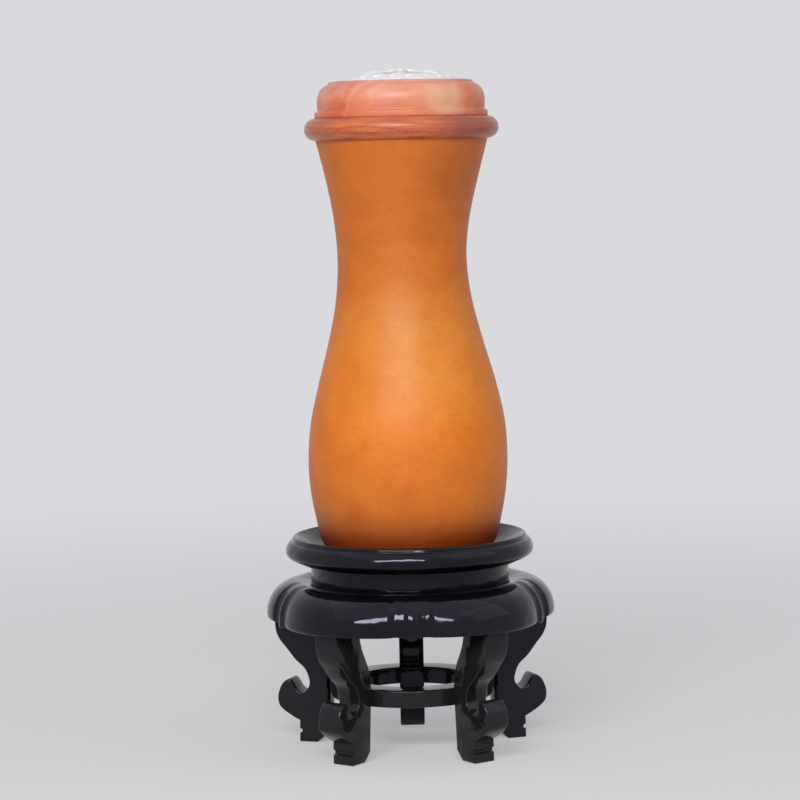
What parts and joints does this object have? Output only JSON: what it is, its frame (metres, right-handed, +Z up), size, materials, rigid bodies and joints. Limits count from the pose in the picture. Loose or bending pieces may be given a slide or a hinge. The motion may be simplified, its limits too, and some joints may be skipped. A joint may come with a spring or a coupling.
{
  "type": "cricket gourd",
  "caption": "Waisted gourd for keeping a singing cricket, with a mouth ring, a lift-off lid with a pierced dome and a lobed lacquered stand it rests in.",
  "frame": {"origin": "under the middle of the part's box, on the plane the feet stand on", "axes": "+Z up along the gourd's axis, -Y towards the front groove of the stand"},
  "size_m": [0.0872, 0.086, 0.2035],
  "materials": {
    "stand_lacquer": "gloss black lacquer",
    "gourd_skin": "satin, handled gourd skin",
    "tamped_earth": "matt tamped earth and lime",
    "dark_wood": "satin polished",
    "pale_wood": "satin polished",
    "carved_white": "satin, carved"
  },
  "bodies": {
    "stand": {"stand_tray": "stand_lacquer", "waist_ring": "stand_lacquer", "apron_ring": "stand_lacquer", "leg_1": "stand_lacquer", "leg_2": "stand_lacquer", "leg_3": "stand_lacquer", "leg_4": "stand_lacquer", "leg_5": "stand_lacquer", "stretcher_ring": "stand_lacquer"},
    "gourd": {"gourd_shell": "gourd_skin", "clay_floor": "tamped_earth", "mouth_ring": "dark_wood"},
    "lid": {"lid_frame": "pale_wood", "pierced_dome": "carved_white"}
  },
  "joints": [
    {"name": "gourd_lift", "type": "slide", "parent": "stand", "child": "gourd", "axis": [0, 0, 1], "range_m": [0, 0.03]},
    {"name": "lid_lift", "type": "slide", "parent": "gourd", "child": "lid", "axis": [0, 0, 1], "range_m": [0, 0.025]}
  ]
}
